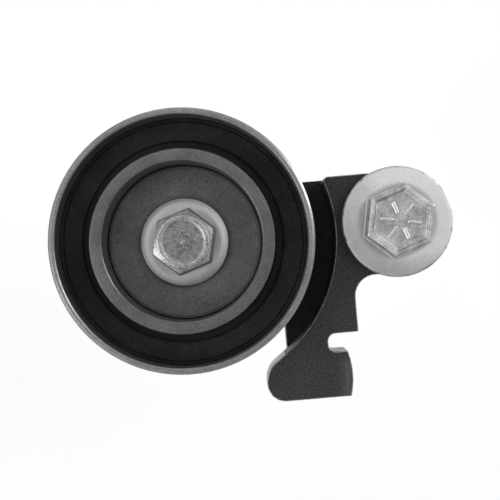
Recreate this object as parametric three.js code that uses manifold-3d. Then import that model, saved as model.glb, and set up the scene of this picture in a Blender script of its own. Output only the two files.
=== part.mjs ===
// Belt tensioner idler: a sealed ball-bearing roller on a forged arm that swings on a pivot bolt.
// Millimetres, +Z up. The origin is on the pivot axis, at the face that seats on the engine block.
// +X runs from the roller to the pivot, +Y is the side of the arm away from its plunger foot.
import * as THREE from "three";
import { mergeVertices } from "three/addons/utils/BufferGeometryUtils.js";
import Module from "manifold-3d";

const wasm = await Module();
wasm.setup();

// Stack heights along Z
const SEAT_Z = 0; // engine block face
const WASHER_TOP_Z = 0.8;
const ARM_BACK_Z = 1.1;
const PLATE_FRONT_Z = 11; // front of the thin plate behind the roller
const BLOCK_FRONT_Z = 26; // front of the thick part of the arm
const REST_GAP = 0.3; // between faces that rest on each other

// Roller bearing
const ROLLER_AXIS = new THREE.Vector2(-50, -0.5);
const ROLLER_R = 30;
const ROLLER_WIDTH = 29;
const ROLLER_MID_Z = 27.5;
const RIM_BORE_R = 28.5;
const RIM_CHAMFER = 0.5;
const OUTER_SHOULDER_R = 25.3;
const INNER_RING_R = 21.2;
const INNER_RING_BORE_R = 18.2;
const INNER_RING_WIDTH = 23;
const INNER_RING_CHAMFER = 0.3;
const BALL_R = 3.175;
const BALL_COUNT = 12;
const BALL_PITCH_R = 23.175;
const RACE_CLEARANCE = 0.15;
const RACE_R = 3.4; // radius of the groove's section, a little larger than the ball
const CAGE_IN_R = 22.1;
const CAGE_OUT_R = 24.3;
const CAGE_HALF_WIDTH = 4.1;
const CAGE_POCKET_R = 3.4;

// Seals, measured from the middle plane of the roller
const SEAL_OUTER_FACE = 5.6;
const SEAL_THICKNESS = 1;
const SEAL_BEAD_R = 28.5;
const SEAL_GROOVE_R = 28.8;
const SEAL_GROOVE_HALF = 0.9;
const SEAL_GROOVE_MID = 5.1;
const SEAL_LIP_STEP_R = 22.9;
const SEAL_LIP_R = 21.5;
const SEAL_LIP_THICKNESS = 0.4;
const SEAL_LIP_DROP = 0.7;

// Hub pressed into the inner ring
const HUB_R = 18;
const HUB_FRONT_Z = 25.2;
const HUB_BOSS_R = 14;
const HUB_CHAMFER = 0.2;

// Arm
const BOSS_R = 12;
const POCKET_R = 35.6; // clearance arc round the roller
const POCKET_CORNER_R = 1;
const NECK_X = -11;
const NECK_FILLET_R = 5;
const SLOT_TOP_Y = -25;
const SLOT_BOTTOM_Y = -29.3;
const SLOT_ROOT_X = -18.3;
const SLOT_ROOT_R = 1.8;
const FOOT_Y = -40; // flat that the plunger pushes
const FOOT_RIGHT_X = -13.9;
const FOOT_NOSE_R = 18.3; // shallow bulge of the foot's right side
const FOOT_LEFT_X = -33.5;
const FOOT_HEEL_R = 6.1; // upper round of the foot's left end
const FOOT_BACK_SLOPE = THREE.MathUtils.degToRad(36.7); // straight back, tangent to the clearance arc
const PLATE_LEFT_X = -27.8;
const PLATE_BOSS_R = 12.5;
const PLATE_FILLET_R = 6;
const PLATE_TIP_Y = -30;
const PLATE_TRIM_X = -19.5;
const PLATE_TRIM_LOW_Y = -26;
const PLATE_TRIM_HIGH_Y = -21;
const BUSHING_SEAT_R = 9.15;

// Pivot
const BUSHING_R = 9;
const BUSHING_BORE_R = 7.9;
const SLEEVE_R = 7.75;
const SLEEVE_BORE_R = 5.3;
const SLEEVE_TOP_Z = 26.3;
const WASHER_R = 11.5;
const WASHER_BORE_R = 8.1;

// M10 flange bolts
const BOLT_R = 5;
const BOLT_HOLE_R = 5.3;
const BOLT_END_CHAMFER = 1;
const PIVOT_BOLT = {
  seatZ: SLEEVE_TOP_Z + REST_GAP,
  length: 50,
  flangeR: 13,
  flangeT: 3,
  flangeEdge: 0.6,
  acrossFlats: 15,
  headTopZ: 36.8,
  cornerDeg: 19.2,
};
const ROLLER_BOLT = {
  seatZ: HUB_FRONT_Z + REST_GAP,
  length: 22,
  flangeR: 10.4,
  flangeT: 2.2,
  flangeEdge: 1,
  acrossFlats: 13.5,
  headTopZ: 34.8,
  cornerDeg: 18.6,
};
const HEAD_ROOT = 1; // both heads start this far above the seat, inside the flange
const HEAD_TAPER = 0.6; // pivot bolt: border of the head slopes in by this much
const HEAD_PANEL_INSET = 1.5; // pivot bolt: width of the raised border, taper included
const HEAD_PANEL_DEPTH = 0.5;
const HEAD_RING_R = 5.85; // roller bolt: round top of the chamfered head
const HEAD_DISH_R = 4.9;
const HEAD_DISH_DEPTH = 0.4;
const HEAD_CHAMFER_SLOPE = Math.tan(THREE.MathUtils.degToRad(30));

// Roundness
const ROUND = 48;
const ROUND_SMALL = 32;
const ARC_STEPS = 10;

const STEEL_DARK = { color: 0x6e7072, roughness: 0.45, metalness: 0.9 };
const STEEL_ROLLER = { color: 0x8d9092, roughness: 0.3, metalness: 1 };
const STEEL_BRIGHT = { color: 0xb9bcbd, roughness: 0.28, metalness: 1 };
const ZINC = { color: 0xc2c4c3, roughness: 0.35, metalness: 1 };
const OXIDE = { color: 0x2b2c2d, roughness: 0.55, metalness: 0.6 };
const RUBBER = { color: 0x1b1b1c, roughness: 0.75, metalness: 0 };
const BRONZE = { color: 0xa8824c, roughness: 0.4, metalness: 0.9 };
const POLYAMIDE = { color: 0xd8d0b4, roughness: 0.6, metalness: 0 };

const v2 = (x, y) => new THREE.Vector2(x, y);

function solidFrom(geometry) {
  const bare = geometry.clone();
  bare.deleteAttribute("normal");
  bare.deleteAttribute("uv");
  const merged = mergeVertices(bare, 1e-4);
  return new wasm.Manifold(
    new wasm.Mesh({
      numProp: 3,
      vertProperties: merged.attributes.position.array,
      triVerts: new Uint32Array(merged.index.array),
    }),
  );
}

function geometryFrom(solid) {
  const mesh = solid.getMesh();
  const geometry = new THREE.BufferGeometry();
  geometry.setAttribute("position", new THREE.BufferAttribute(mesh.vertProperties, 3));
  geometry.setIndex(new THREE.BufferAttribute(mesh.triVerts, 1));
  const flat = geometry.toNonIndexed();
  flat.computeVertexNormals();
  return flat;
}

// A profile of (radius, height) points turned round Z. A ring's profile is closed on itself.
function turned(profile, segments = ROUND) {
  const isRing = profile.every((p) => p.x > 0);
  const points = isRing ? [...profile, profile[0].clone()] : profile;
  const outward = THREE.ShapeUtils.isClockWise(profile) ? [...points].reverse() : points;
  return new THREE.LatheGeometry(outward, segments).rotateX(Math.PI / 2);
}

function ringProfile(inR, outR, lowZ, highZ) {
  return [v2(inR, lowZ), v2(outR, lowZ), v2(outR, highZ), v2(inR, highZ)];
}

function extruded(shape, lowZ, highZ) {
  const options = { depth: highZ - lowZ, bevelEnabled: false, curveSegments: ARC_STEPS };
  return new THREE.ExtrudeGeometry(shape, options).translate(0, 0, lowZ);
}

// Six-sided prism or taper round Z, with one corner at cornerDeg from +X
function hexagon(lowFlats, highFlats, lowZ, highZ, cornerDeg) {
  const cornerR = (flats) => flats / Math.sqrt(3);
  return new THREE.CylinderGeometry(cornerR(highFlats), cornerR(lowFlats), highZ - lowZ, 6)
    .rotateX(Math.PI / 2)
    .rotateZ(Math.PI / 2 + THREE.MathUtils.degToRad(cornerDeg))
    .translate(0, 0, (lowZ + highZ) / 2);
}

function named(name, geometry, finish) {
  const mesh = new THREE.Mesh(geometry, new THREE.MeshStandardMaterial(finish));
  mesh.name = name;
  return mesh;
}

// Points of the ball groove's section, from -halfAngle to +halfAngle round the ball's centre line
function racePoints(isOuter, shoulderR) {
  const side = isOuter ? 1 : -1;
  const bottomR = BALL_PITCH_R + side * (BALL_R + RACE_CLEARANCE);
  const centreR = bottomR - side * RACE_R;
  const halfAngle = Math.acos((side * (shoulderR - centreR)) / RACE_R);
  const steps = 6;
  const points = [];
  for (let i = 0; i <= steps; i += 1) {
    const angle = -halfAngle + (2 * halfAngle * i) / steps;
    points.push(v2(centreR + side * RACE_R * Math.cos(angle), RACE_R * Math.sin(angle)));
  }
  return points;
}

function outerRing() {
  const half = ROLLER_WIDTH / 2;
  const grooveIn = SEAL_GROOVE_MID - SEAL_GROOVE_HALF;
  const grooveOut = SEAL_GROOVE_MID + SEAL_GROOVE_HALF;
  const upperBore = [
    v2(OUTER_SHOULDER_R, grooveIn),
    v2(SEAL_GROOVE_R, grooveIn),
    v2(SEAL_GROOVE_R, grooveOut),
    v2(RIM_BORE_R, grooveOut),
    v2(RIM_BORE_R, half - RIM_CHAMFER / 2),
    v2(RIM_BORE_R + RIM_CHAMFER / 2, half),
    v2(ROLLER_R - RIM_CHAMFER, half),
    v2(ROLLER_R, half - RIM_CHAMFER),
  ];
  const lowerBore = upperBore.map((p) => v2(p.x, -p.y)).reverse();
  return turned([...lowerBore, ...racePoints(true, OUTER_SHOULDER_R), ...upperBore]);
}

function innerRing() {
  const half = INNER_RING_WIDTH / 2;
  const edge = INNER_RING_CHAMFER;
  const upperEnd = [
    v2(INNER_RING_R, half - edge),
    v2(INNER_RING_R - edge, half),
    v2(INNER_RING_BORE_R + edge, half),
    v2(INNER_RING_BORE_R, half - edge),
  ];
  const lowerEnd = upperEnd.map((p) => v2(p.x, -p.y)).reverse();
  return turned([...lowerEnd, ...racePoints(false, INNER_RING_R), ...upperEnd]);
}

// Rubber-faced seal: a bead snapped into the outer ring, a flat web, and a thin lip at the inner ring
function seal(side) {
  const face = SEAL_OUTER_FACE;
  const back = face - SEAL_THICKNESS;
  const lipFace = face - SEAL_LIP_DROP;
  const lipBack = lipFace - SEAL_LIP_THICKNESS;
  const profile = [
    v2(SEAL_LIP_R, lipBack),
    v2(SEAL_LIP_STEP_R, lipBack),
    v2(SEAL_LIP_STEP_R + SEAL_LIP_DROP, back),
    v2(SEAL_BEAD_R, back),
    v2(SEAL_BEAD_R, face),
    v2(SEAL_LIP_STEP_R, face),
    v2(SEAL_LIP_STEP_R, lipFace),
    v2(SEAL_LIP_R, lipFace),
  ];
  return turned(profile.map((p) => v2(p.x, side * p.y)));
}

// One-piece cage: a ring with a round pocket for each ball
function cage() {
  const blank = ringProfile(CAGE_IN_R, CAGE_OUT_R, -CAGE_HALF_WIDTH, CAGE_HALF_WIDTH);
  let solid = solidFrom(turned(blank));
  const drillLength = 4 * (CAGE_OUT_R - CAGE_IN_R);
  for (let i = 0; i < BALL_COUNT; i += 1) {
    const pocket = new THREE.CylinderGeometry(CAGE_POCKET_R, CAGE_POCKET_R, drillLength, 16)
      .rotateZ(Math.PI / 2)
      .translate(BALL_PITCH_R, 0, 0)
      .rotateZ((2 * Math.PI * i) / BALL_COUNT);
    solid = solid.subtract(solidFrom(pocket));
  }
  return geometryFrom(solid);
}

function hub() {
  const bossTopZ = ROLLER_MID_Z - INNER_RING_WIDTH / 2 + REST_GAP;
  return turned([
    v2(BOLT_HOLE_R, PLATE_FRONT_Z + REST_GAP),
    v2(HUB_BOSS_R, PLATE_FRONT_Z + REST_GAP),
    v2(HUB_BOSS_R, bossTopZ),
    v2(HUB_R, bossTopZ),
    v2(HUB_R, HUB_FRONT_Z - HUB_CHAMFER),
    v2(HUB_R - HUB_CHAMFER, HUB_FRONT_Z),
    v2(BOLT_HOLE_R, HUB_FRONT_Z),
  ]);
}

// Flange and shank common to both bolts
function boltBlank(bolt) {
  const endZ = bolt.seatZ - bolt.length;
  const topZ = bolt.seatZ + bolt.flangeT;
  return turned(
    [
      v2(0, endZ),
      v2(BOLT_R - BOLT_END_CHAMFER, endZ),
      v2(BOLT_R, endZ + BOLT_END_CHAMFER),
      v2(BOLT_R, bolt.seatZ),
      v2(bolt.flangeR - bolt.flangeEdge / 2, bolt.seatZ),
      v2(bolt.flangeR, bolt.seatZ + bolt.flangeEdge / 2),
      v2(bolt.flangeR, topZ - bolt.flangeEdge),
      v2(bolt.flangeR - bolt.flangeEdge, topZ),
      v2(0, topZ),
    ],
    ROUND_SMALL,
  );
}

// Head with a tapered hexagonal border round a sunk panel
function pivotBolt() {
  const { acrossFlats, headTopZ, cornerDeg, seatZ } = PIVOT_BOLT;
  const taperZ = headTopZ - HEAD_TAPER;
  const topFlats = acrossFlats - 2 * HEAD_TAPER;
  const panelFlats = acrossFlats - 2 * HEAD_PANEL_INSET;
  const panelZ = headTopZ - HEAD_PANEL_DEPTH;
  const prism = hexagon(acrossFlats, acrossFlats, seatZ + HEAD_ROOT, taperZ, cornerDeg);
  const taper = hexagon(acrossFlats, topFlats, taperZ, headTopZ, cornerDeg);
  const panel = hexagon(panelFlats, panelFlats, panelZ, headTopZ + 1, cornerDeg);
  const head = solidFrom(prism).add(solidFrom(taper)).subtract(solidFrom(panel));
  return geometryFrom(solidFrom(boltBlank(PIVOT_BOLT)).add(head));
}

// Head with corners cut by a cone up to a round top, and a shallow dish in it
function rollerBolt() {
  const { acrossFlats, headTopZ, cornerDeg, seatZ } = ROLLER_BOLT;
  const cornerR = acrossFlats / Math.sqrt(3);
  const chamferDrop = (cornerR - HEAD_RING_R) * HEAD_CHAMFER_SLOPE;
  const lowZ = seatZ + HEAD_ROOT;
  const prism = hexagon(acrossFlats, acrossFlats, lowZ, headTopZ, cornerDeg);
  const cone = turned(
    [
      v2(0, lowZ),
      v2(cornerR, lowZ),
      v2(cornerR, headTopZ - chamferDrop),
      v2(HEAD_RING_R, headTopZ),
      v2(HEAD_DISH_R, headTopZ),
      v2(HEAD_DISH_R - HEAD_DISH_DEPTH, headTopZ - HEAD_DISH_DEPTH),
      v2(0, headTopZ - HEAD_DISH_DEPTH),
    ],
    ROUND_SMALL,
  );
  const head = solidFrom(prism).intersect(solidFrom(cone));
  return geometryFrom(solidFrom(boltBlank(ROLLER_BOLT)).add(head));
}

// Thick part of the arm: pivot boss, neck with a side slot, and the foot under it
function blockOutline() {
  const { x: ax, y: ay } = ROLLER_AXIS;
  const cornerY = BOSS_R - POCKET_CORNER_R;
  const cornerReach = POCKET_R + POCKET_CORNER_R;
  const cornerAngle = Math.asin((cornerY - ay) / cornerReach);
  const cornerX = ax + cornerReach * Math.cos(cornerAngle);
  const pocketEnd = FOOT_BACK_SLOPE - Math.PI / 2;
  const backX = ax + POCKET_R * Math.cos(pocketEnd);
  const backY = ay + POCKET_R * Math.sin(pocketEnd);
  const heelX = FOOT_LEFT_X + FOOT_HEEL_R;
  const heelRise = (heelX - backX) * Math.sin(FOOT_BACK_SLOPE) - FOOT_HEEL_R;
  const heelY = backY + heelRise / Math.cos(FOOT_BACK_SLOPE);
  const toeR = heelY - FOOT_Y;
  const noseHalf = (SLOT_BOTTOM_Y - FOOT_Y) / 2;
  const noseX = FOOT_RIGHT_X - Math.sqrt(FOOT_NOSE_R ** 2 - noseHalf ** 2);
  const noseAngle = Math.asin(noseHalf / FOOT_NOSE_R);
  const rootX = SLOT_ROOT_X + SLOT_ROOT_R;
  const filletX = NECK_X + NECK_FILLET_R;
  const filletY = -BOSS_R - NECK_FILLET_R;

  const s = new THREE.Shape();
  s.moveTo(0, -BOSS_R);
  s.absarc(0, 0, BOSS_R, -Math.PI / 2, Math.PI / 2, false);
  s.lineTo(cornerX, BOSS_R);
  s.absarc(cornerX, cornerY, POCKET_CORNER_R, Math.PI / 2, Math.PI + cornerAngle, false);
  s.absarc(ax, ay, POCKET_R, cornerAngle, pocketEnd, true);
  s.absarc(heelX, heelY, FOOT_HEEL_R, Math.PI / 2 + FOOT_BACK_SLOPE, Math.PI, false);
  s.absarc(FOOT_LEFT_X + toeR, heelY, toeR, Math.PI, (3 * Math.PI) / 2, false);
  s.lineTo(FOOT_RIGHT_X, FOOT_Y);
  s.absarc(noseX, FOOT_Y + noseHalf, FOOT_NOSE_R, -noseAngle, noseAngle, false);
  s.lineTo(rootX, SLOT_BOTTOM_Y);
  s.absarc(rootX, SLOT_BOTTOM_Y + SLOT_ROOT_R, SLOT_ROOT_R, -Math.PI / 2, -Math.PI, true);
  s.absarc(rootX, SLOT_TOP_Y - SLOT_ROOT_R, SLOT_ROOT_R, Math.PI, Math.PI / 2, true);
  s.lineTo(NECK_X, SLOT_TOP_Y);
  s.lineTo(NECK_X, filletY);
  s.absarc(filletX, filletY, NECK_FILLET_R, Math.PI, Math.PI / 2, true);
  s.closePath();
  return s;
}

// Thin plate that carries the roller's bolt and joins it to the thick part
function plateOutline() {
  const { x: ax, y: ay } = ROLLER_AXIS;
  const lowY = ay - PLATE_BOSS_R;
  const innerX = PLATE_LEFT_X - PLATE_FILLET_R;
  const filletX = NECK_X + NECK_FILLET_R;
  const filletY = -BOSS_R - NECK_FILLET_R;

  const s = new THREE.Shape();
  s.moveTo(0, -BOSS_R);
  s.absarc(0, 0, BOSS_R, -Math.PI / 2, Math.PI / 2, false);
  s.lineTo(ax, ay + PLATE_BOSS_R);
  s.absarc(ax, ay, PLATE_BOSS_R, Math.PI / 2, (3 * Math.PI) / 2, false);
  s.lineTo(innerX, lowY);
  s.absarc(innerX, lowY - PLATE_FILLET_R, PLATE_FILLET_R, Math.PI / 2, 0, true);
  s.lineTo(PLATE_LEFT_X, PLATE_TIP_Y);
  s.lineTo(PLATE_TRIM_X, PLATE_TIP_Y);
  s.lineTo(PLATE_TRIM_X, PLATE_TRIM_LOW_Y);
  s.lineTo(NECK_X, PLATE_TRIM_HIGH_Y);
  s.lineTo(NECK_X, filletY);
  s.absarc(filletX, filletY, NECK_FILLET_R, Math.PI, Math.PI / 2, true);
  s.closePath();
  return s;
}

function hole(radius, x, y) {
  const reach = 5;
  const height = BLOCK_FRONT_Z + 2 * reach;
  return solidFrom(
    new THREE.CylinderGeometry(radius, radius, height, ROUND)
      .rotateX(Math.PI / 2)
      .translate(x, y, height / 2 - reach),
  );
}

function tensionerArm() {
  const block = solidFrom(extruded(blockOutline(), PLATE_FRONT_Z, BLOCK_FRONT_Z));
  const plate = solidFrom(extruded(plateOutline(), ARM_BACK_Z, PLATE_FRONT_Z));
  return geometryFrom(
    block
      .add(plate)
      .subtract(hole(BUSHING_SEAT_R, 0, 0))
      .subtract(hole(BOLT_HOLE_R, ROLLER_AXIS.x, ROLLER_AXIS.y)),
  );
}

function ball(index) {
  const angle = (2 * Math.PI * index) / BALL_COUNT;
  const name = `ball_${String(index + 1).padStart(2, "0")}`;
  const mesh = named(name, new THREE.SphereGeometry(BALL_R, 12, 8), STEEL_BRIGHT);
  mesh.rotation.x = Math.PI / 2;
  mesh.position.set(BALL_PITCH_R * Math.cos(angle), BALL_PITCH_R * Math.sin(angle), 0);
  return mesh;
}

const pivot = new THREE.Group();
pivot.add(
  named("pivot_bolt", pivotBolt(), ZINC),
  named(
    "pivot_sleeve",
    turned(ringProfile(SLEEVE_BORE_R, SLEEVE_R, SEAT_Z, SLEEVE_TOP_Z)),
    STEEL_BRIGHT,
  ),
  named(
    "rear_washer",
    turned(ringProfile(WASHER_BORE_R, WASHER_R, SEAT_Z, WASHER_TOP_Z), ROUND_SMALL),
    STEEL_BRIGHT,
  ),
);

const bearing = new THREE.Group();
bearing.position.set(ROLLER_AXIS.x, ROLLER_AXIS.y, ROLLER_MID_Z);
bearing.add(
  named("outer_ring", outerRing(), STEEL_ROLLER),
  named("inner_ring", innerRing(), STEEL_DARK),
  named("front_seal", seal(1), RUBBER),
  named("rear_seal", seal(-1), RUBBER),
  named("cage", cage(), POLYAMIDE),
);
for (let i = 0; i < BALL_COUNT; i += 1) bearing.add(ball(i));

const rollerMount = new THREE.Group();
rollerMount.position.set(ROLLER_AXIS.x, ROLLER_AXIS.y, 0);
rollerMount.add(named("hub", hub(), STEEL_DARK), named("roller_bolt", rollerBolt(), ZINC));

const swing = new THREE.Group();
swing.add(
  named("tensioner_arm", tensionerArm(), OXIDE),
  named(
    "pivot_bushing",
    turned(ringProfile(BUSHING_BORE_R, BUSHING_R, ARM_BACK_Z, BLOCK_FRONT_Z)),
    BRONZE,
  ),
  bearing,
  rollerMount,
);

const idler = new THREE.Group();
idler.add(pivot, swing);

export default idler;
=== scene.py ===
"""Looks of the belt tensioner idler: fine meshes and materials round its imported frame.

Shapes are given in millimetres and turned into metres when a mesh is made.
"""

import math

import bmesh
import bpy
import numpy as np
from mathutils import Matrix, Vector


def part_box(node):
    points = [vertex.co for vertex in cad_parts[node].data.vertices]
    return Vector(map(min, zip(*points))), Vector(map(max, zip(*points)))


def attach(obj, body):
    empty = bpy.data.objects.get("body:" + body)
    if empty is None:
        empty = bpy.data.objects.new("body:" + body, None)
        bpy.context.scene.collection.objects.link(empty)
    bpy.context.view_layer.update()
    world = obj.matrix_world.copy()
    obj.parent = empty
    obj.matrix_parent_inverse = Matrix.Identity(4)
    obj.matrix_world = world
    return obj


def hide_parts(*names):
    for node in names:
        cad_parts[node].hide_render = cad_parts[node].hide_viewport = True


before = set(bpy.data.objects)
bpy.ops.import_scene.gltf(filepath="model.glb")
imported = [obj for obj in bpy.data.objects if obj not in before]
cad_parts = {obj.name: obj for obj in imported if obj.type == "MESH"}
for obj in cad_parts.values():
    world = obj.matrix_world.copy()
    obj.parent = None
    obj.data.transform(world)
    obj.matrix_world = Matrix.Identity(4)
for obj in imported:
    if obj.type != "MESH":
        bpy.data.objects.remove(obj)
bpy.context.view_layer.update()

MM = 0.001
FULL = 2 * math.pi
ROUND_STEPS = 192
FILLET_STEPS = 5
SHARP_ANGLE = math.radians(32)
REST_GAP = 0.3  # between faces that rest on each other, as in CAD


def node_mm(node):
    """Centre x, centre y, largest radius, lowest z and highest z of a round CAD node, in mm."""
    low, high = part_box(node)
    centre = (low + high) / 2
    radius = (high.x - low.x) / 2
    return centre.x / MM, centre.y / MM, radius / MM, low.z / MM, high.z / MM


ROLLER_X, ROLLER_Y, ROLLER_R, ROLLER_BACK, ROLLER_FRONT = node_mm("outer_ring")
ROLLER_MID = (ROLLER_BACK + ROLLER_FRONT) / 2
ROLLER_AT = (ROLLER_X, ROLLER_Y)
PIVOT_AT = (0.0, 0.0)


# ---------------------------------------------------------------- mesh making


def mesh_object(name, verts, faces, at=PIVOT_AT):
    """A smooth-shaded object from points in mm round the upright axis at `at`."""
    mesh = bpy.data.meshes.new(name)
    mesh.from_pydata([(x * MM, y * MM, z * MM) for x, y, z in verts], [], faces)
    mesh.validate()
    finish_mesh(mesh)
    obj = bpy.data.objects.new(name, mesh)
    obj.location = (at[0] * MM, at[1] * MM, 0)
    bpy.context.scene.collection.objects.link(obj)
    return obj


def finish_mesh(mesh):
    """Faces out, smooth shading, sharp where the surface turns hard."""
    work = bmesh.new()
    work.from_mesh(mesh)
    bmesh.ops.remove_doubles(work, verts=work.verts, dist=1e-7)
    bmesh.ops.recalc_face_normals(work, faces=work.faces)
    work.to_mesh(mesh)
    work.free()
    mesh.polygons.foreach_set("use_smooth", [True] * len(mesh.polygons))
    mesh.set_sharp_from_angle(angle=SHARP_ANGLE)
    mesh.update()


def filleted(corners):
    """Profile points from (r, z, fillet radius) corners, closed, with each corner rounded."""
    points = []
    count = len(corners)
    for i, (r, z, radius) in enumerate(corners):
        here = Vector((r, z))
        before = Vector(corners[i - 1][:2]) - here
        after = Vector(corners[(i + 1) % count][:2]) - here
        if radius <= 0:
            points.append((r, z))
            continue
        half = before.angle(after) / 2
        reach = radius / math.tan(half)
        start = here + before.normalized() * reach
        end = here + after.normalized() * reach
        inward = (before.normalized() + after.normalized()).normalized()
        middle = here + inward * (radius / math.sin(half))
        turn = (start - middle).angle_signed(end - middle)
        for k in range(FILLET_STEPS + 1):
            arm = start - middle
            arm.rotate(Matrix.Rotation(-turn * k / FILLET_STEPS, 2))
            points.append((middle.x + arm.x, middle.y + arm.y))
    return points


def revolve(name, corners, at=PIVOT_AT):
    """A turned ring, whose profile closes on itself."""
    turn = angles(ROUND_STEPS)
    rings = [[(r * math.cos(t), r * math.sin(t), z) for t in turn] for r, z in filleted(corners)]
    return loft(name, rings, at, closed=True)


def angles(steps):
    """Evenly spread directions round a circle, in radians."""
    return [FULL * i / steps for i in range(steps)]


def band(low, high, count):
    """Quads between two closed rings of points, each given by the index of its first point."""
    pairs = [(i, (i + 1) % count) for i in range(count)]
    return [(low + i, low + n, high + n, high + i) for i, n in pairs]


def loft(name, rings, at=PIVOT_AT, closed=False):
    """Quads between rings of equal length. Ends that shrink to a point are merged there."""
    steps = len(rings[0])
    verts = [p for ring in rings for p in ring]
    faces = []
    last = len(rings) if closed else len(rings) - 1
    for i in range(last):
        following = (i + 1) % len(rings)
        faces += band(i * steps, following * steps, steps)
    return mesh_object(name, verts, faces, at)


def arc(cx, cy, radius, start, end, step_deg=3.0):
    """Points along an arc from start to end, in radians, both ends included."""
    count = max(2, math.ceil(abs(end - start) / math.radians(step_deg)))
    return [
        (
            cx + radius * math.cos(start + (end - start) * i / count),
            cy + radius * math.sin(start + (end - start) * i / count),
        )
        for i in range(count + 1)
    ]


def without_repeats(points):
    """The outline without the points that two joined arcs share."""
    kept = []
    for p in points:
        if not kept or math.dist(p, kept[-1]) > 1e-4:
            kept.append(p)
    if math.dist(kept[0], kept[-1]) < 1e-4:
        kept.pop()
    return kept


def slab(name, outline, low, high):
    """A flat-ended solid from an outline in mm."""
    points = without_repeats(outline)
    count = len(points)
    verts = [(x, y, low) for x, y in points] + [(x, y, high) for x, y in points]
    faces = [tuple(range(count))[::-1], tuple(range(count, 2 * count))]
    faces += band(0, count, count)
    return mesh_object(name, verts, faces)


def apply_modifiers(obj):
    """Replaces the mesh with its modified result and drops the modifiers."""
    graph = bpy.context.evaluated_depsgraph_get()
    done = bpy.data.meshes.new_from_object(obj.evaluated_get(graph))
    old = obj.data
    obj.modifiers.clear()
    obj.data = done
    done.name = old.name
    bpy.data.meshes.remove(old)


def combine(obj, other, operation):
    """Boolean of obj with other, which is used up."""
    step = obj.modifiers.new("cut", "BOOLEAN")
    step.operation = operation
    step.solver = "EXACT"
    step.object = other
    bpy.context.view_layer.update()
    apply_modifiers(obj)
    bpy.data.objects.remove(other)


def weigh_outer_edges(mesh, angle):
    """Marks the hard edges that stand out, so that only those are rounded."""
    work = bmesh.new()
    work.from_mesh(mesh)
    weight = work.edges.layers.float.new("bevel_weight_edge")
    for edge in work.edges:
        if len(edge.link_faces) == 2 and edge.is_convex and edge.calc_face_angle(0) > angle:
            edge[weight] = 1.0
    work.to_mesh(mesh)
    work.free()


def bevel(obj, width, segments, angle_deg, edge_slot=None):
    """Rounds the hard outer edges; the new faces may take a material slot of their own."""
    weigh_outer_edges(obj.data, math.radians(angle_deg))
    step = obj.modifiers.new("bevel", "BEVEL")
    step.width = width * MM
    step.segments = segments
    step.limit_method = "WEIGHT"
    step.use_clamp_overlap = False
    step.harden_normals = False
    if edge_slot is not None:
        step.material = edge_slot
    bpy.context.view_layer.update()
    apply_modifiers(obj)
    obj.data.polygons.foreach_set("use_smooth", [True] * len(obj.data.polygons))
    obj.data.set_sharp_from_angle(angle=SHARP_ANGLE)
    weighted = obj.modifiers.new("even_shading", "WEIGHTED_NORMAL")
    weighted.keep_sharp = True
    bpy.context.view_layer.update()
    apply_modifiers(obj)


def place(obj, body, slot, material, *nodes):
    """Hands a finished piece to the frame: its materials, its body and the CAD nodes that it stands for,
    which it hides; the slot is not used.
    """
    for m in material if isinstance(material, list) else [material]:
        obj.data.materials.append(m)
    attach(obj, body)
    if nodes:
        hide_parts(*nodes)


# ---------------------------------------------------------------- materials

PAINTED_SHADE_Y = (-7.5, -11.5)  # where the painted shade on the pivot bolt's lower side starts and where it is full
BRIM_R = (12.5, 12.7)  # where the knocks along the pivot bolt's brim start and where they are full
STREAK_X = (-16.8, -14.5)  # where the rubbed streaks and painted highlight on the arm's foot start and where they are full
STREAK_Y = (-30.5, -32.5)
LIP_PAINTED_SHADE_R = (23.1, 22.7)  # where painted shade on a seal starts to darken it towards its lip and where it is full
DISH_SHADE_R = 4.8  # the roller bolt's dish is darker inside this radius


def grey(level):
    """A colour without a hue."""
    return (level, level, level)


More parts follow.
